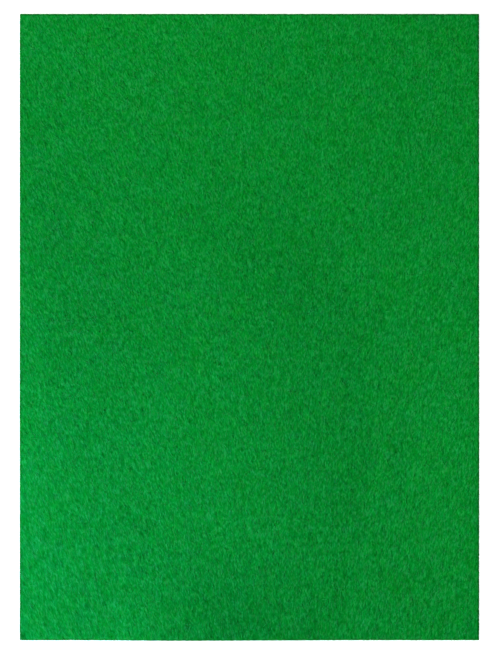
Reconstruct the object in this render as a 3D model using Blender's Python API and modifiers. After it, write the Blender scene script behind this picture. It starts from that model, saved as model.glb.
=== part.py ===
"""A cut sheet of felt that lies on a flat surface with a few soft swells in it.

Metres, +Z up. The origin is on that surface, under the middle of the sheet: X runs across
the sheet's width and Y along its length.
"""

import math
from collections import namedtuple

import bpy

# Driving dimensions.
SHEET_WIDTH = 0.220
SHEET_LENGTH = 0.300
SHEET_THICKNESS = 0.002  # the felted body with its nap
CUT_EDGE_SOFTENING = 0.0004  # how far the cut edges are rounded over
CUT_EDGE_FROM = math.radians(60)  # only the cut edges bend as sharply as this
SHARP_FROM = math.radians(30)  # gentler bends than this are shaded smooth

# The grid that carries the swells, in cells.
CELLS_ACROSS = 30
CELLS_ALONG = 40

# Felt is limp: what would lift less than this lies flat, and the rest leaves the surface softly.
SETTLES_BELOW = 0.00015
LIFT_OFF = 0.0003

# A swell is a low ridge in the sheet. Its crest is a straight line through (x, y) that points
# along heading, in degrees from +X. It fades out half_length to each end of that point, and
# over the widths of its left and right flanks, as seen looking along the heading.
Swell = namedtuple("Swell", "x y heading half_length left right height")
SWELLS = (
    # the main swell, low down and right of the middle
    Swell(x=0.022, y=-0.078, heading=80, half_length=0.104, left=0.084, right=0.046, height=0.0024),
    # where it bends to the left and dies out, sloping gently down to the near left
    Swell(x=-0.004, y=0.006, heading=126, half_length=0.080, left=0.170, right=0.066, height=0.0029),
    # the one that lifts the near edge; its highest point would be just off the sheet
    Swell(x=-0.036, y=-0.172, heading=68, half_length=0.082, left=0.054, right=0.092, height=0.0065),
    # a low one along the left edge
    Swell(x=-0.094, y=-0.024, heading=90, half_length=0.134, left=0.024, right=0.054, height=0.0014),
    # the right edge, lifted a little
    Swell(x=0.108, y=-0.056, heading=84, half_length=0.116, left=0.044, right=0.020, height=0.0016),
)

# Finish: bright green, dull and slightly fuzzy.
FELT_GREEN = (0.004, 0.200, 0.025, 1.0)
FELT_ROUGHNESS = 0.95
FELT_SHEEN = 0.3


def clear_scene():
    for obj in list(bpy.data.objects):
        bpy.data.objects.remove(obj, do_unlink=True)


def fade(distance, reach):
    """1 at no distance, falling smoothly to 0 at reach and beyond."""
    share = min(abs(distance) / reach, 1.0)
    return math.cos(share * math.pi / 2) ** 2


def swell_height(swell, x, y):
    """How much one swell adds at (x, y)."""
    heading = math.radians(swell.heading)
    dx, dy = x - swell.x, y - swell.y
    along = dx * math.cos(heading) + dy * math.sin(heading)
    to_left = dy * math.cos(heading) - dx * math.sin(heading)
    flank = swell.left if to_left > 0 else swell.right
    return swell.height * fade(along, swell.half_length) * fade(to_left, flank)


def lift(x, y):
    """How far the sheet's underside is off the surface at (x, y)."""
    raised = sum(swell_height(swell, x, y) for swell in SWELLS) - SETTLES_BELOW
    if raised <= 0:
        return 0.0
    return raised * raised / (raised + LIFT_OFF)


def felt_material():
    material = bpy.data.materials.new("green_felt")
    material.use_nodes = True
    shader = material.node_tree.nodes["Principled BSDF"]
    shader.inputs["Base Color"].default_value = FELT_GREEN
    shader.inputs["Roughness"].default_value = FELT_ROUGHNESS
    shader.inputs["Metallic"].default_value = 0.0
    shader.inputs["Sheen Weight"].default_value = FELT_SHEEN
    return material


def flat_sheet():
    """The sheet as cut: a flat grid thickened upwards from the surface, its cut edges rounded."""
    bpy.ops.mesh.primitive_grid_add(x_subdivisions=CELLS_ACROSS, y_subdivisions=CELLS_ALONG, size=1.0)
    sheet = bpy.context.active_object
    sheet.name = sheet.data.name = "felt_sheet"
    sheet.scale = (SHEET_WIDTH, SHEET_LENGTH, 1.0)
    bpy.ops.object.transform_apply(scale=True)

    body = sheet.modifiers.new("body", "SOLIDIFY")
    body.thickness = SHEET_THICKNESS
    body.offset = 1.0

    rim = sheet.modifiers.new("cut_edge", "BEVEL")
    rim.width = CUT_EDGE_SOFTENING
    rim.segments = 1
    rim.limit_method = "ANGLE"
    rim.angle_limit = CUT_EDGE_FROM

    for modifier in list(sheet.modifiers):
        bpy.ops.object.modifier_apply(modifier=modifier.name)
    return sheet


def felt_sheet(collection):
    """The cut sheet laid down: every point of it rises with the swell it lies in."""
    sheet = flat_sheet()
    for vertex in sheet.data.vertices:
        vertex.co.z += lift(vertex.co.x, vertex.co.y)
    sheet.data.shade_smooth()
    sheet.data.set_sharp_from_angle(angle=SHARP_FROM)
    sheet.data.materials.append(felt_material())
    for other in list(sheet.users_collection):
        other.objects.unlink(sheet)
    collection.objects.link(sheet)
    return sheet


def main():
    clear_scene()
    collection = bpy.data.collections.new("sheet_of_felt")
    bpy.context.scene.collection.children.link(collection)
    felt_sheet(collection)


main()
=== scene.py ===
"""The looks of a cut sheet of green felt: its napped face, its cut edges and the loose fibres on both.

Metres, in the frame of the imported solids: X across the sheet, Y along it, Z up from the surface it lies on.
"""

import math
from collections import namedtuple

import bpy
import numpy as np
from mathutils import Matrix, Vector


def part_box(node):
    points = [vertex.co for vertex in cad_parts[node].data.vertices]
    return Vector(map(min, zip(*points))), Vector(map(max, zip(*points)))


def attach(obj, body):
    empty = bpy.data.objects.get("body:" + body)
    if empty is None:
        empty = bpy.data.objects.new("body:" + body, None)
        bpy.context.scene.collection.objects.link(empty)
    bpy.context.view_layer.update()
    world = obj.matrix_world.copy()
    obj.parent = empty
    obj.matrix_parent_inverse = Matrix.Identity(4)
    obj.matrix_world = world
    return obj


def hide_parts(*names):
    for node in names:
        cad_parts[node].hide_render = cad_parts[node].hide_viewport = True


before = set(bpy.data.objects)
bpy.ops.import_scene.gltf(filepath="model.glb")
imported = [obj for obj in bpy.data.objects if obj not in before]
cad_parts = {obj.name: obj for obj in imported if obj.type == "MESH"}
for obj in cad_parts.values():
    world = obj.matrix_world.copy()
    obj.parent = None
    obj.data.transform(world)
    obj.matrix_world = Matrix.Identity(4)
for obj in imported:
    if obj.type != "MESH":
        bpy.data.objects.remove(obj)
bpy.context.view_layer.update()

MM = 0.001

# ---------------------------------------------------------------- the sheet
LOW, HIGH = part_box("felt_sheet")
WIDTH = HIGH.x - LOW.x
LENGTH = HIGH.y - LOW.y
THICKNESS = 2.0 * MM
NAP_DEPTH = 0.30 * MM  # how much of the thickness is loose fibres on the face

# Swells, as in the solid: a crest line through (x, y) that points along heading, in degrees from +X,
# and fades out half_length to each end of that point and over the widths of its two flanks.
SETTLES_BELOW = 0.15 * MM
LIFT_OFF = 0.30 * MM
Swell = namedtuple("Swell", "x y heading half_length left right height")
SWELLS = (
    Swell(x=0.022, y=-0.078, heading=80, half_length=0.104, left=0.084, right=0.046, height=0.0024),
    Swell(x=-0.004, y=0.006, heading=126, half_length=0.080, left=0.170, right=0.066, height=0.0029),
    Swell(x=-0.036, y=-0.172, heading=68, half_length=0.082, left=0.054, right=0.092, height=0.0065),
    Swell(x=-0.094, y=-0.024, heading=90, half_length=0.134, left=0.024, right=0.054, height=0.0014),
    Swell(x=0.108, y=-0.056, heading=84, half_length=0.116, left=0.044, right=0.020, height=0.0016),
)

# The nap's lay at the left and right edges, in degrees from +X: it leans to the left on the left,
# is upright at the middle and leans to the right on the right.
LAY_LEFT = 108
LAY_RIGHT = 73
# The felt under it has two grains: one fades out from the left edge to the right, one back.
# Each is its own stretch of noise, which begins start metres from the sheet's middle.
Grain = namedtuple("Grain", "slant start")
GRAINS = (
    Grain(slant=math.tan(math.radians(106 - 90)), start=0.37),
    Grain(slant=math.tan(math.radians(84 - 90)), start=0.83),
)
PATCH_START = 0.59  # the same for what is not grained

# ---------------------------------------------------------------- the face's relief
# One row a layer: the cells' size across and along the lay, how high it stands, and its seed.
Relief = namedtuple("Relief", "across along height seed")
RELIEF = (
    Relief(across=8.0 * MM, along=14.0 * MM, height=0.03 * MM, seed=11),
    Relief(across=1.4 * MM, along=3.0 * MM, height=0.035 * MM, seed=12),
    Relief(across=1.0 * MM, along=1.4 * MM, height=0.035 * MM, seed=13),
)
LATTICE = 512  # the lumps repeat after this many cells
FACE_PITCH = 0.92 * MM
UNDERSIDE_STEP = 4  # face cells to one cell of the underside

# ---------------------------------------------------------------- the cut edges
CUT_EDGE_SOFTENING = 0.35 * MM  # how far the face's rim stands in from the outline
WALL_ROWS = 5
BULGE_STRETCH = 1.15  # over 1, the wall is widest a little above its middle
BULGE_POWER = 0.5  # under 1, the wall is full rather than pointed
FOOT_BULGE = 0.35  # how far out the foot stands, from the rim's place at 0 to the outline at 1
WALL_ROUGHNESS = 0.08 * MM
WALL_SEED = 41

# ---------------------------------------------------------------- the fibres
# spread and bend are standard deviations in degrees, and length_spread is that of the length's
# logarithm. rises is the range of the fibres' rises, in shares of rise. Those with ends closer
# together than shortest are left out.
Nap = namedtuple("Nap", "count length length_spread width spread bend rise rises shortest seed")
FACE_NAP = Nap(
    count=12000, length=3.2 * MM, length_spread=0.35, width=0.16 * MM,
    spread=12, bend=60, rise=0.12 * MM, rises=(0.2, 1.0), shortest=0.6 * MM, seed=21,
)
FACE_NAP_BANDS = 4  # the face's fibres come in this many pieces, along the length
FAR_SPREAD = 3.0  # how many times more widely they are spread at the far edge than at the near one
STRAY_SHARE = 0.15  # of the face's fibres, those that lie any way
FACE_MARGIN = 0.05 * MM  # the face's fibres stay this far inside the outline
EDGE_NAP = Nap(
    count=5200, length=1.5 * MM, length_spread=0.35, width=0.09 * MM,
    spread=22, bend=60, rise=0.10 * MM, rises=(0.3, 1.6), shortest=0.3 * MM, seed=31,
)
EDGE_HEIGHTS = (0.12, 0.88)  # where the edges' fibres have their middles, in shares of the thickness
EDGE_MARGINS = (0.1 * MM, 0.2 * MM)  # how far they stay above the underside and below the nap's top
LENGTH_LIMITS = (0.35, 2.2)  # the shortest and longest fibres, in shares of the usual length
WIDTH_LIMITS = (0.6, 1.25)  # the thinnest and thickest, in shares of the width
SUNK = 0.06 * MM  # how deep the fibres' ends are in the felt
FIBRE_POINTS = 4
FIBRE_SIDES = 3
BAKE_MARGIN = 0.1  # round each fibre's square of the texture map, in shares of its side
BAKE_FILL = 0.8  # how much of that side the fibre takes

# ---------------------------------------------------------------- colours
# The felt's greens from deep to pale, with its own mid green between them. The deep end is partly painted
# shade, darker and more saturated as in the hollows between fibres; the pale end is partly painted sheen,
# whiter as where fibres catch the light.
GREEN_DEEP_AND_SHADE = (0.0, 0.072, 0.0008, 1.0)
GREEN_MID = (0.0014, 0.181, 0.0178, 1.0)
GREEN_PALE_AND_SHEEN = (0.0260, 0.264, 0.0620, 1.0)
GRAIN_TONE_AND_SHADE = 2.95  # how strongly the fine grain changes the tone; as it darkens where the grain's bump sinks, this is partly painted shade
FIBRE_TONE = (-0.57, 1.6)  # the darkest fibre's tone, and how much higher the lightest one's is
# Painted shade along the cut edges: how far in it reaches, and how much darker the colour is at the edge
# itself.
RIM_SHADE_WIDTH = 1.2 * MM
RIM_PAINTED_SHADE = 0.22

# Noise in the colour and the bump: its cells' size across and along, its detail and that detail's
# roughness, and how far it slants to the left for each metre along the sheet.
Cells = namedtuple("Cells", "across along detail roughness slant", defaults=(0.55, 0.0))
CLUMPS = Cells(across=1.3 * MM, along=4.4 * MM, detail=0)
# how much the clumps lighten and darken the colour: partly their own tone, partly painted shade where the
# face's bump sinks
CLUMP_TONE_AND_SHADE = 0.54
FAR_CLUMPS = 0.6  # how strong the clumps still are at the far edge
FINE_GRAIN = Cells(across=0.75 * MM, along=1.8 * MM, detail=4)
PATCHES = Cells(across=14 * MM, along=22 * MM, detail=2)
PATCH_CONTRAST = 0.12
BLUES = Cells(across=16 * MM, along=20 * MM, detail=3, roughness=1.0, slant=-0.1)
BLUE_CONTRAST = 0.80
BLUE_FLECKS = Cells(across=3.0 * MM, along=3.7 * MM, detail=0, roughness=0.5, slant=0.3)
BLUE_FLECK_CONTRAST = 0.48

CLUMP_BUMP = 0.5
GRAIN_BUMP = 0.6
BUMP_STRENGTH = 0.5
BUMP_DEPTH = 0.25 * MM
FELT_ROUGHNESS = 0.95
SHEEN = 0.18
SHEEN_ROUGHNESS = 0.45
SHEEN_GREEN = (0.0, 0.80, 0.25, 1.0)

# ---------------------------------------------------------------- the stage
FLOOR_SIZE = 12.0
FLOOR_DROP = 0.05 * MM  # how far it is under the sheet's underside
FLOOR_WHITE = (0.50, 0.50, 0.50, 1.0)
FLOOR_GLOW = 0.85
WHITE = (1.0, 1.0, 1.0, 1.0)

# The room's brightness at the horizon and below it, and what it dims to above. ROOM_DIM is the sine
# of the elevation where it has reached that.
ROOM_HORIZON = 1.0
ROOM_OVERHEAD = 0.06
ROOM_DIM = 0.40

MIDDLE = (0, 0, 0)
Light = namedtuple("Light", "name place aim size power colour")
LIGHTS = (
    # like a window, far off on the near left
    Light("window", (-3.40, -3.50, 1.50), MIDDLE, size=1.20, power=450, colour=(0.78, 1.0, 0.75)),
    # small, by the near left corner
    Light("lamp", (-0.20, -0.17, 0.16), MIDDLE, size=0.06, power=0.45, colour=(0.25, 1.0, 1.80)),
    Light("far_fill", (-0.18, 0.42, 0.23), MIDDLE, size=0.12, power=1.45, colour=(0.74, 1.0, 0.66)),
    Light("left_fill", (-0.26, 0.10, 0.10), (-0.05, 0.10, 0), size=0.06, power=0.12, colour=(0.0, 0.1, 1.0)),
    Light("right_fill", (0.36, -0.08, 0.30), MIDDLE, size=0.12, power=0.88, colour=(0.76, 1.0, 1.04)),
)

PHOTO_WIDTH, PHOTO_HEIGHT = 500, 650  # pixels
PIXELS_PER_METRE = 2088  # on the sheet's face
SHEET_CENTRE_PIXEL = (249.48, 327.07)
LENS = 300.0
SENSOR_HEIGHT = 36.0


# ---------------------------------------------------------------- the sheet's surfaces
def fade(distance, reach):
    """1 at no distance, falling smoothly to 0 at reach and beyond."""
    share = np.minimum(np.abs(distance) / reach, 1.0)
    return np.cos(share * np.pi / 2) ** 2


def lift(x, y):
    """How far the sheet's underside is off the surface."""
    raised = np.zeros(np.shape(x))
    for swell in SWELLS:
        heading = math.radians(swell.heading)
        dx, dy = x - swell.x, y - swell.y
        along = dx * math.cos(heading) + dy * math.sin(heading)
        to_left = dy * math.cos(heading) - dx * math.sin(heading)
        flank = np.where(to_left > 0, swell.left, swell.right)
        raised += swell.height * fade(along, swell.half_length) * fade(to_left, flank)
    raised = np.maximum(raised - SETTLES_BELOW, 0.0)
    return raised * raised / (raised + LIFT_OFF)


def lay_of(x):
    """The nap's heading at x, in radians from +X."""
    share = x / WIDTH + 0.5
    return np.radians(LAY_LEFT + (LAY_RIGHT - LAY_LEFT) * share)


def grain_weights(x):
    """How strongly the left grain and the right one show at x; their squares add up to 1."""
    share = np.clip(x / WIDTH + 0.5, 0.0, 1.0)
    length = np.sqrt(share * share + (1 - share) * (1 - share))
    return (1 - share) / length, share / length


def lumps(u, v, seed):
    """Smooth lumps of about -1 to 1, one to each unit of u and v."""
    lattice = np.random.default_rng(seed).uniform(-1, 1, (LATTICE, LATTICE))
    i, j = np.floor(u).astype(int), np.floor(v).astype(int)
    s, t = u - i, v - j
    s, t = s * s * (3 - 2 * s), t * t * (3 - 2 * t)
    here_i, next_i = i % LATTICE, (i + 1) % LATTICE
    here_j, next_j = j % LATTICE, (j + 1) % LATTICE
    near = lattice[here_i, here_j] * (1 - s) + lattice[next_i, here_j] * s
    far = lattice[here_i, next_j] * (1 - s) + lattice[next_i, next_j] * s
    return near * (1 - t) + far * t


def face_relief(x, y):
    """How far the felt stands above or below its even face: every layer, in both grains."""
    return sum(
        weight * layer.height * lumps(
            (x + grain.slant * y + grain.start) / layer.across, (y + grain.start) / layer.along, layer.seed
        )
        for layer in RELIEF
        for weight, grain in zip(grain_weights(x), GRAINS)
    )


def face_height(x, y):
    """The felted face under its loose fibres."""
    return lift(x, y) + THICKNESS - NAP_DEPTH + face_relief(x, y)


# ---------------------------------------------------------------- the felted body
def grid_points(cells_x, cells_y, inset):
    """A grid over the sheet's rectangle, with its border drawn in by inset."""
    x = np.linspace(-WIDTH / 2, WIDTH / 2, cells_x + 1)
    y = np.linspace(-LENGTH / 2, LENGTH / 2, cells_y + 1)
    x[0], x[-1] = x[0] + inset, x[-1] - inset
    y[0], y[-1] = y[0] + inset, y[-1] - inset
    return np.meshgrid(x, y, indexing="ij")


def rim_cells(cells_x, cells_y):
    """The grid's border points, anticlockwise from the lower left, as (i, j)."""
    near = [(i, 0) for i in range(cells_x)]
    right = [(cells_x, j) for j in range(cells_y)]
    far = [(i, cells_y) for i in range(cells_x, 0, -1)]
    left = [(0, j) for j in range(cells_y, 0, -1)]
    return near + right + far + left


def wall_insets(share, count, rng):
    """How far in from the outline the cut edge's points stand, this share of the way down from the rim."""
    if share == 1:
        return np.full(count, CUT_EDGE_SOFTENING * (1 - FOOT_BULGE))
    bulge = math.sin(math.pi * min(share * BULGE_STRETCH, 1.0)) ** BULGE_POWER
    return CUT_EDGE_SOFTENING * (1 - bulge) + rng.uniform(0, WALL_ROUGHNESS, count)


def cut_edges(face, rim, index):
    """The wall from the face's rim down: its rings of points, its faces and its foot's point numbers."""
    cells_x, cells_y = face.shape[0] - 1, face.shape[1] - 1
    rim_i, rim_j = np.array(rim).T
    face_rim = face[rim_i, rim_j]
    outward = np.stack([
        (rim_i == cells_x).astype(float) - (rim_i == 0),
        (rim_j == cells_y).astype(float) - (rim_j == 0),
    ], -1)
    outline = face_rim[:, :2] + outward * CUT_EDGE_SOFTENING
    foot = lift(outline[:, 0], outline[:, 1])
    rng = np.random.default_rng(WALL_SEED)
    rings, faces = [], []
    above = index[rim_i, rim_j]
    for row in range(1, WALL_ROWS + 1):
        share = row / WALL_ROWS
        ring = np.empty((len(rim), 3))
        ring[:, :2] = outline - outward * wall_insets(share, len(rim), rng)[:, None]
        ring[:, 2] = face_rim[:, 2] * (1 - share) + foot * share
        rings.append(ring)
        below = index.size + len(rim) * (row - 1) + np.arange(len(rim))
        for a in range(len(rim)):
            b = (a + 1) % len(rim)
            faces.append((above[a], below[a], below[b], above[b]))
        above = below
    return rings, faces, above


def underside(face, rim_number, first):
    """The underside's inner points, numbered from first, and its faces, in coarser cells than the face's."""
    cells_x, cells_y = face.shape[0] - 1, face.shape[1] - 1
    step = UNDERSIDE_STEP
    inner = {}
    points = []
    for i in range(step, cells_x, step):
        for j in range(step, cells_y, step):
            x, y = face[i, j, :2]
            inner[i, j] = first + len(points)
            points.append((x, y, float(lift(x, y))))
    number = {**rim_number, **inner}
    faces = []
    for i in range(0, cells_x, step):
        for j in range(0, cells_y, step):
            border = (
                [(i, j + k) for k in range(step)] + [(i + k, j + step) for k in range(step)]
                + [(i + step, j + step - k) for k in range(step)] + [(i + step - k, j) for k in range(step)]
            )
            corners = [cell for cell in border if cell in number]
            if len(corners) == 4:
                faces.append(tuple(number[cell] for cell in corners))
                continue
            # along the rim the cell has more corners in one line, so it is a fan from an inner one
            start = next(k for k, cell in enumerate(corners) if cell in inner)
            fan = [number[cell] for cell in corners[start:] + corners[:start]]
            faces += [(fan[0], a, b) for a, b in zip(fan[1:], fan[2:])]
    return np.array(points), faces


def felt_body():
    """The sheet's closed body: a finely uneven face, rounded cut edges and a plain underside."""
    cells_x = UNDERSIDE_STEP * round(WIDTH / FACE_PITCH / UNDERSIDE_STEP)
    cells_y = UNDERSIDE_STEP * round(LENGTH / FACE_PITCH / UNDERSIDE_STEP)
    x, y = grid_points(cells_x, cells_y, CUT_EDGE_SOFTENING)
    face = np.stack([x, y, face_height(x, y)], -1)
    index = np.arange(x.size).reshape(x.shape)
    faces = [
        (index[i, j], index[i + 1, j], index[i + 1, j + 1], index[i, j + 1])
        for i in range(cells_x) for j in range(cells_y)
    ]
    rim = rim_cells(cells_x, cells_y)
    rings, wall_faces, foot_numbers = cut_edges(face, rim, index)
    first = x.size + len(rings) * len(rim)
    under_points, under_faces = underside(face, dict(zip(rim, foot_numbers)), first)
    points = np.concatenate([face.reshape(-1, 3), *rings, under_points])
    return mesh_object("felt_body", points, faces + wall_faces + under_faces)


def mesh_object(name, points, faces):
    mesh = bpy.data.meshes.new(name)
    mesh.from_pydata(points.tolist(), [], [tuple(int(n) for n in face) for face in faces])
    mesh.shade_smooth()
    piece = bpy.data.objects.new(name, mesh)
    bpy.context.scene.collection.objects.link(piece)
    return piece


# ---------------------------------------------------------------- loose fibres
def curls(nap, rng):
    """Curved paths through their own middles, (count, FIBRE_POINTS, 2), heading along +X."""
    length = nap.length * np.exp(nap.length_spread * rng.normal(size=nap.count))
    length = np.clip(length, LENGTH_LIMITS[0] * nap.length, LENGTH_LIMITS[1] * nap.length)
    bend = np.radians(nap.bend) * rng.normal(size=nap.count)
    steps = FIBRE_POINTS - 1
    turn = (np.arange(steps) + 0.5) / steps - 0.5
    heading = bend[:, None] * turn
    leg = (length / steps)[:, None]
    path = np.zeros((nap.count, FIBRE_POINTS, 2))
    path[:, 1:, 0] = np.cumsum(leg * np.cos(heading), 1)
    path[:, 1:, 1] = np.cumsum(leg * np.sin(heading), 1)
    return path - path.mean(1, keepdims=True)


def turned(path, heading):
    """The paths, each turned to its heading."""
    c, s = np.cos(heading)[:, None], np.sin(heading)[:, None]
    return np.stack([path[..., 0] * c - path[..., 1] * s, path[..., 0] * s + path[..., 1] * c], -1)


def arches(nap, rng):
    """How far each point of each fibre is out of the felt: the ends are sunk in it, the middle rises."""
    t = np.linspace(-1, 1, FIBRE_POINTS)
    rise = nap.rise * rng.uniform(*nap.rises, nap.count)
    return rise[:, None] * (1 - t * t) - SUNK


def radii_and_shades(nap, rng):
    """Each fibre's radius and its own shade, from 0 to 1."""
    radii = nap.width / 2 * rng.uniform(*WIDTH_LIMITS, nap.count)
    return radii, rng.uniform(0, 1, nap.count)


def fibre_pattern():
    """One fibre's triangles, as point numbers, and their corners in the texture map."""
    rings = FIBRE_POINTS - 2
    last = 1 + rings * FIBRE_SIDES
    ring_v = [(r + 1) / (rings + 1) for r in range(rings)]
    triangles, corners = [], []
    for k in range(FIBRE_SIDES):
        n = (k + 1) % FIBRE_SIDES
        u0, u1 = k / FIBRE_SIDES, (k + 1) / FIBRE_SIDES
        tip_u = (u0 + u1) / 2
        triangles.append((0, 1 + n, 1 + k))
        corners.append((tip_u, 0.0, u1, ring_v[0], u0, ring_v[0]))
        for r in range(rings - 1):
            a, b = 1 + r * FIBRE_SIDES, 1 + (r + 1) * FIBRE_SIDES
            v0, v1 = ring_v[r], ring_v[r + 1]
            triangles.append((a + k, a + n, b + n))
            corners.append((u0, v0, u1, v0, u1, v1))
            triangles.append((a + k, b + n, b + k))
            corners.append((u0, v0, u1, v1, u0, v1))
        a = last - FIBRE_SIDES
        triangles.append((a + k, a + n, last))
        corners.append((u0, ring_v[-1], u1, ring_v[-1], tip_u, 1.0))
    return np.array(triangles), np.array(corners)


def tubes(name, paths, radii, outward, shades):
    """Closed tubes of FIBRE_SIDES sides along the paths, pointed at both ends, as one mesh."""
    count, rings = len(paths), FIBRE_POINTS - 2
    along = paths[:, 2:] - paths[:, :-2]
    side = np.cross(outward[:, None, :], along)
    side /= np.linalg.norm(side, axis=-1, keepdims=True)
    rise = np.cross(along, side)
    rise /= np.linalg.norm(rise, axis=-1, keepdims=True)
    angles = 2 * np.pi * np.arange(FIBRE_SIDES) / FIBRE_SIDES
    around = (
        side[:, :, None] * np.cos(angles)[None, None, :, None]
        + rise[:, :, None] * np.sin(angles)[None, None, :, None]
    )
    ring_points = paths[:, 1:-1, None] + around * radii[:, None, None, None]
    each = np.concatenate([
        paths[:, :1], ring_points.reshape(count, rings * FIBRE_SIDES, 3), paths[:, -1:]
    ], 1)
    per_fibre = each.shape[1]
    triangles, corners = fibre_pattern()
    faces = (triangles[None] + per_fibre * np.arange(count)[:, None, None]).reshape(-1, 3)
    piece = mesh_object(name, each.reshape(-1, 3), faces)

    shade = piece.data.attributes.new("shade", "FLOAT", "POINT")
    shade.data.foreach_set("value", np.repeat(shades, per_fibre).astype(np.float32))
    # each fibre has its own square of the texture map
    cells = math.ceil(math.sqrt(count))
    cell = np.stack([np.arange(count) % cells, np.arange(count) // cells], -1)
    uv = corners.reshape(1, -1, 2) * BAKE_FILL + BAKE_MARGIN
    uv = (uv + cell[:, None, :]) / cells
    layer = piece.data.uv_layers.new(name="OFBake")
    layer.data.foreach_set("uv", uv.astype(np.float32).reshape(-1))
    return piece


def face_fibres(band):
    """The loose fibres on one band of the face. What would pass its outline is pulled back to it."""
    nap = FACE_NAP
    rng = np.random.default_rng(nap.seed + band)
    band_length = LENGTH / FACE_NAP_BANDS
    x = rng.uniform(-WIDTH / 2, WIDTH / 2, nap.count)
    y = -LENGTH / 2 + band_length * (band + rng.uniform(0, 1, nap.count))
    spread = np.radians(nap.spread) * (1 + (FAR_SPREAD - 1) * (y / LENGTH + 0.5))
    heading = lay_of(x) + spread * rng.normal(size=nap.count)
    stray = rng.uniform(size=nap.count) < STRAY_SHARE
    heading = np.where(stray, rng.uniform(0, np.pi, nap.count), heading)
    heading += np.pi * (rng.uniform(size=nap.count) < 0.5)
    path = turned(curls(nap, rng), heading) + np.stack([x, y], -1)[:, None]
    half = np.array([WIDTH / 2, LENGTH / 2]) - FACE_MARGIN
    path = np.clip(path, -half, half)
    height = face_height(path[..., 0], path[..., 1]) + arches(nap, rng)
    paths = np.concatenate([path, height[..., None]], -1)
    keep = np.linalg.norm(path[:, -1] - path[:, 0], axis=-1) > nap.shortest
    outward = np.tile([0.0, 0.0, 1.0], (nap.count, 1))
    radii, shades = radii_and_shades(nap, rng)
    return tubes(f"face_nap_{band + 1}", paths[keep], radii[keep], outward[keep], shades[keep])


def edge_fibres():
    """Cut ends and stray fibres on the four cut edges."""
    nap = EDGE_NAP
    rng = np.random.default_rng(nap.seed)
    round_trip = 2 * (WIDTH + LENGTH)
    s = rng.uniform(0, round_trip, nap.count)
    h = THICKNESS * rng.uniform(*EDGE_HEIGHTS, nap.count)
    heading = np.radians(nap.spread) * rng.normal(size=nap.count)
    path = turned(curls(nap, rng), heading)
    centre_s = s[:, None] + path[..., 0]
    centre_h = np.clip(h[:, None] + path[..., 1], EDGE_MARGINS[0], THICKNESS - EDGE_MARGINS[1])
    out = arches(nap, rng)
    paths = np.empty((nap.count, FIBRE_POINTS, 3))
    outward = np.zeros((nap.count, 3))
    sides = (
        # the side's first corner, the way it runs, the way out of the sheet, and its length
        ((-WIDTH / 2, -LENGTH / 2), (1, 0), (0, -1), WIDTH),
        ((WIDTH / 2, -LENGTH / 2), (0, 1), (1, 0), LENGTH),
        ((WIDTH / 2, LENGTH / 2), (-1, 0), (0, 1), WIDTH),
        ((-WIDTH / 2, LENGTH / 2), (0, -1), (-1, 0), LENGTH),
    )
    start = 0.0
    for corner, run, way_out, side_length in sides:
        here = (s >= start) & (s < start + side_length)
        along = np.clip(centre_s[here] - start, 0, side_length)
        plan = (
            np.array(corner) + along[..., None] * np.array(run) + out[here][..., None] * np.array(way_out)
        )
        paths[here, :, :2] = plan
        paths[here, :, 2] = centre_h[here] + lift(plan[..., 0], plan[..., 1])
        outward[here, :2] = way_out
        start += side_length
    keep = np.linalg.norm(paths[:, -1] - paths[:, 0], axis=-1) > nap.shortest
    radii, shades = radii_and_shades(nap, rng)
    return tubes("edge_nap", paths[keep], radii[keep], outward[keep], shades[keep])


# ---------------------------------------------------------------- materials
def node(tree, kind, settings=(), **inputs):
    """A new node, its settings, and its inputs by name: a value, or another node's output."""
    made = tree.nodes.new(kind)
    for name, value in dict(settings).items():
        setattr(made, name, value)
    for name, value in inputs.items():
        socket = made.inputs[int(name[1:]) if name.startswith("_") else name.replace("_", " ")]
        if isinstance(value, bpy.types.NodeSocket):
            tree.links.new(value, socket)
        else:
            socket.default_value = value
    return made


def maths(tree, operation, a, b=0.0):
    return node(tree, "ShaderNodeMath", {"operation": operation}, _0=a, _1=b).outputs[0]


def weighted(tree, *terms):
    """The sum of (value, weight) pairs."""
    total = None
    for value, weight in terms:
        term = maths(tree, "MULTIPLY", value, weight)
        total = term if total is None else maths(tree, "ADD", total, term)
    return total


Place = namedtuple("Place", "x y z grain_weights")


def place_on_sheet(tree):
    """X, Y and Z in metres and the weights of the two grains there, as sockets."""
    place = node(tree, "ShaderNodeTexCoord").outputs["Object"]
    x, y, z = node(tree, "ShaderNodeSeparateXYZ", _0=place).outputs
    share = node(tree, "ShaderNodeMapRange", Value=x, From_Min=-WIDTH / 2, From_Max=WIDTH / 2).outputs[0]
    rest = maths(tree, "SUBTRACT", 1.0, share)
    squares = weighted(tree, (share, share), (rest, rest))
    length = maths(tree, "SQRT", squares)
    return Place(x, y, z, (maths(tree, "DIVIDE", rest, length), maths(tree, "DIVIDE", share, length)))


def mottle(tree, here, cells, slant=None, start=PATCH_START):
    """Noise in such cells, centred on 0, about -0.5 to 0.5."""
    slant = cells.slant if slant is None else slant
    u = maths(tree, "ADD", maths(tree, "ADD", here.x, maths(tree, "MULTIPLY", here.y, slant)), start)
    v = maths(tree, "ADD", here.y, start)
    cell = node(
        tree, "ShaderNodeCombineXYZ",
        _0=maths(tree, "DIVIDE", u, cells.across),
        _1=maths(tree, "DIVIDE", v, cells.along),
        _2=maths(tree, "DIVIDE", here.z, cells.across),
    ).outputs[0]
    noise = node(
        tree, "ShaderNodeTexNoise",
        Vector=cell, Scale=1.0, Detail=cells.detail, Roughness=cells.roughness,
    ).outputs[0]
    return maths(tree, "SUBTRACT", noise, 0.5)


def streaks(tree, here, cells):
    """The same, running with the two grains."""
    return weighted(tree, *(
        (mottle(tree, here, cells, grain.slant, grain.start), weight)
        for grain, weight in zip(GRAINS, here.grain_weights)
    ))


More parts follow.
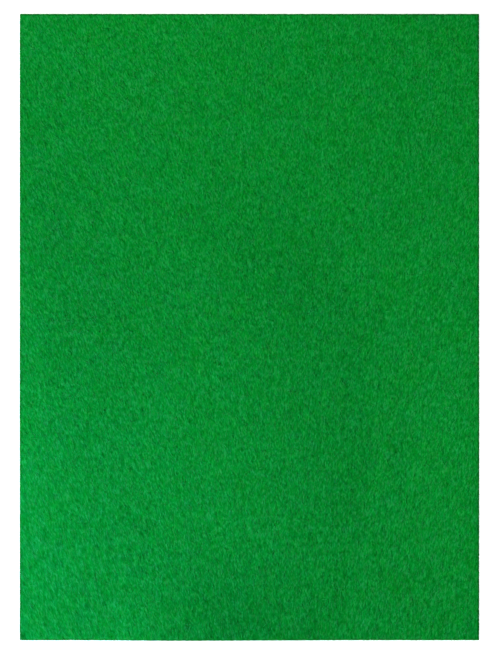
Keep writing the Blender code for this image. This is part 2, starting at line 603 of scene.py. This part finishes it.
def clumped(tree, here):
    """Clumps of fibres that run with the grains, fainter towards the far edge."""
    strength = node(
        tree, "ShaderNodeMapRange", Value=here.y,
        From_Min=-LENGTH / 2, From_Max=LENGTH / 2, To_Min=1.0, To_Max=FAR_CLUMPS,
    ).outputs[0]
    return maths(tree, "MULTIPLY", streaks(tree, here, CLUMPS), strength)


def green(tree, tone):
    """Felt green for a tone: deep at -1, mid at 0 and pale at 1; the deep end carries painted shade and the
    pale end painted sheen.
    """
    share = maths(tree, "ADD", maths(tree, "MULTIPLY", tone, 0.5), 0.5)
    ramp = node(tree, "ShaderNodeValToRGB", Fac=share)
    first, last = ramp.color_ramp.elements
    first.color, last.color = GREEN_DEEP_AND_SHADE, GREEN_PALE_AND_SHEEN
    ramp.color_ramp.elements.new(0.5).color = GREEN_MID
    return ramp.outputs["Color"]


def painted_rim_shade(tree, here):
    """Where the cut edges' painted shade falls: 1 at the edges, fading to 0 a rim's width inside them."""
    ways_in = [
        maths(tree, "SUBTRACT", size / 2, maths(tree, "ABSOLUTE", place))
        for size, place in ((WIDTH, here.x), (LENGTH, here.y))
    ]
    return node(
        tree, "ShaderNodeMapRange", Value=maths(tree, "MINIMUM", *ways_in),
        From_Min=0.0, From_Max=RIM_SHADE_WIDTH, To_Min=1.0, To_Max=0.0,
    ).outputs[0]


def uneven(tree, here, colour, clumps):
    """That colour, lighter and darker in clumps and patches, bluer and yellower in others; the clumps' darker
    parts are partly painted shade where the face's bump sinks.

    It carries painted shade at the rim, darker along the cut edges. Red stays as it is: level goes to green,
    and level and blues to blue.
    """
    patches = mottle(tree, here, PATCHES)
    blues = weighted(
        tree, (mottle(tree, here, BLUES), BLUE_CONTRAST),
        (mottle(tree, here, BLUE_FLECKS), BLUE_FLECK_CONTRAST),
    )
    # the rim's term is painted shade, darkening the colour along the cut edges
    light = weighted(
        tree, (patches, PATCH_CONTRAST), (clumps, CLUMP_TONE_AND_SHADE), (painted_rim_shade(tree, here), -RIM_PAINTED_SHADE),
    )
    level = maths(tree, "ADD", light, 1.0)
    blue = maths(tree, "MULTIPLY", level, maths(tree, "ADD", blues, 1.0))
    factors = node(tree, "ShaderNodeCombineXYZ", _0=1.0, _1=level, _2=blue).outputs[0]
    return node(tree, "ShaderNodeVectorMath", {"operation": "MULTIPLY"}, _0=colour, _1=factors).outputs[0]


def felt_shader(name):
    material = bpy.data.materials.new(name)
    material.use_nodes = True
    tree = material.node_tree
    shader = tree.nodes["Principled BSDF"]
    shader.inputs["Roughness"].default_value = FELT_ROUGHNESS
    shader.inputs["Metallic"].default_value = 0.0
    shader.inputs["Specular IOR Level"].default_value = 0.0
    shader.inputs["Sheen Weight"].default_value = SHEEN
    shader.inputs["Sheen Roughness"].default_value = SHEEN_ROUGHNESS
    shader.inputs["Sheen Tint"].default_value = SHEEN_GREEN
    return material, tree, shader


def body_material():
    """The felted face: its fine grain makes the tone and, with the clumps, the bump. The colour is lighter
    where that bump stands high and darker where it sinks: partly the felt's own tone, partly painted shade in
    the hollows.
    """
    material, tree, shader = felt_shader("felted_wool")
    here = place_on_sheet(tree)
    clumps = clumped(tree, here)
    grain = streaks(tree, here, FINE_GRAIN)
    colour = green(tree, maths(tree, "MULTIPLY", grain, GRAIN_TONE_AND_SHADE))
    tree.links.new(uneven(tree, here, colour, clumps), shader.inputs["Base Color"])
    height = weighted(tree, (clumps, CLUMP_BUMP), (grain, GRAIN_BUMP))
    bump = node(tree, "ShaderNodeBump", Strength=BUMP_STRENGTH, Distance=BUMP_DEPTH, Height=height)
    tree.links.new(bump.outputs[0], shader.inputs["Normal"])
    return material


def fibre_material():
    """The loose fibres: each has one tone, from its own shade; the lightest take the ramp's painted sheen."""
    material, tree, shader = felt_shader("loose_fibres")
    here = place_on_sheet(tree)
    own = node(tree, "ShaderNodeAttribute", {"attribute_name": "shade"}).outputs["Fac"]
    clumps = clumped(tree, here)
    darkest, span = FIBRE_TONE
    tone = maths(tree, "ADD", maths(tree, "MULTIPLY", own, span), darkest)
    tree.links.new(uneven(tree, here, green(tree, tone), clumps), shader.inputs["Base Color"])
    return material


# ---------------------------------------------------------------- floor, light and camera
def floor():
    bpy.ops.mesh.primitive_plane_add(size=FLOOR_SIZE, location=(0, 0, -FLOOR_DROP))
    made = bpy.context.active_object
    made.name = "floor"
    material = bpy.data.materials.new("white_table")
    material.use_nodes = True
    shader = material.node_tree.nodes["Principled BSDF"]
    shader.inputs["Base Color"].default_value = FLOOR_WHITE
    shader.inputs["Roughness"].default_value = 1.0
    shader.inputs["Specular IOR Level"].default_value = 0.0
    shader.inputs["Emission Color"].default_value = WHITE
    shader.inputs["Emission Strength"].default_value = FLOOR_GLOW
    made.data.materials.append(material)
    return made


def area_light(row):
    light = bpy.data.lights.new(row.name, "AREA")
    light.shape = "DISK"
    light.size = row.size
    light.energy = row.power
    light.color = row.colour
    lamp = bpy.data.objects.new(row.name, light)
    lamp.location = row.place
    way = np.array(row.aim) - np.array(row.place)
    lamp.rotation_euler = Vector(way).to_track_quat("-Z", "Y").to_euler()
    lamp.visible_camera = False
    bpy.context.scene.collection.objects.link(lamp)


def studio():
    """A room that is bright at its horizon, and the lights."""
    world = bpy.data.worlds.new("room")
    world.use_nodes = True
    tree = world.node_tree
    background = tree.nodes["Background"]
    place = node(tree, "ShaderNodeTexCoord").outputs["Generated"]
    height = node(tree, "ShaderNodeSeparateXYZ", _0=place).outputs[2]
    level = node(
        tree, "ShaderNodeMapRange", Value=height,
        From_Min=0.0, From_Max=ROOM_DIM, To_Min=ROOM_HORIZON, To_Max=ROOM_OVERHEAD,
    )
    tree.links.new(level.outputs[0], background.inputs["Color"])
    bpy.context.scene.world = world
    for row in LIGHTS:
        area_light(row)


def camera():
    """Straight above, with the sheet where the photograph has it."""
    frame_height = PHOTO_HEIGHT / PIXELS_PER_METRE
    right = (PHOTO_WIDTH / 2 - SHEET_CENTRE_PIXEL[0]) / PIXELS_PER_METRE
    up = (SHEET_CENTRE_PIXEL[1] - PHOTO_HEIGHT / 2) / PIXELS_PER_METRE
    data = bpy.data.cameras.new("camera")
    data.sensor_fit = "VERTICAL"
    data.sensor_height = SENSOR_HEIGHT
    data.lens = LENS
    made = bpy.data.objects.new("camera", data)
    made.location = (right, up, THICKNESS + frame_height * LENS / SENSOR_HEIGHT)
    bpy.context.scene.collection.objects.link(made)
    bpy.context.scene.camera = made


def main():
    body = felt_body()
    body.data.materials.append(body_material())
    fibres = [face_fibres(band) for band in range(FACE_NAP_BANDS)] + [edge_fibres()]
    loose = fibre_material()
    for piece in fibres:
        piece.data.materials.append(loose)
    for piece in [body] + fibres:
        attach(piece, "root")
        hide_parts("felt_sheet")
    ground = floor()
    studio()
    camera()
    bpy.context.scene.view_settings.view_transform = "Standard"


main()
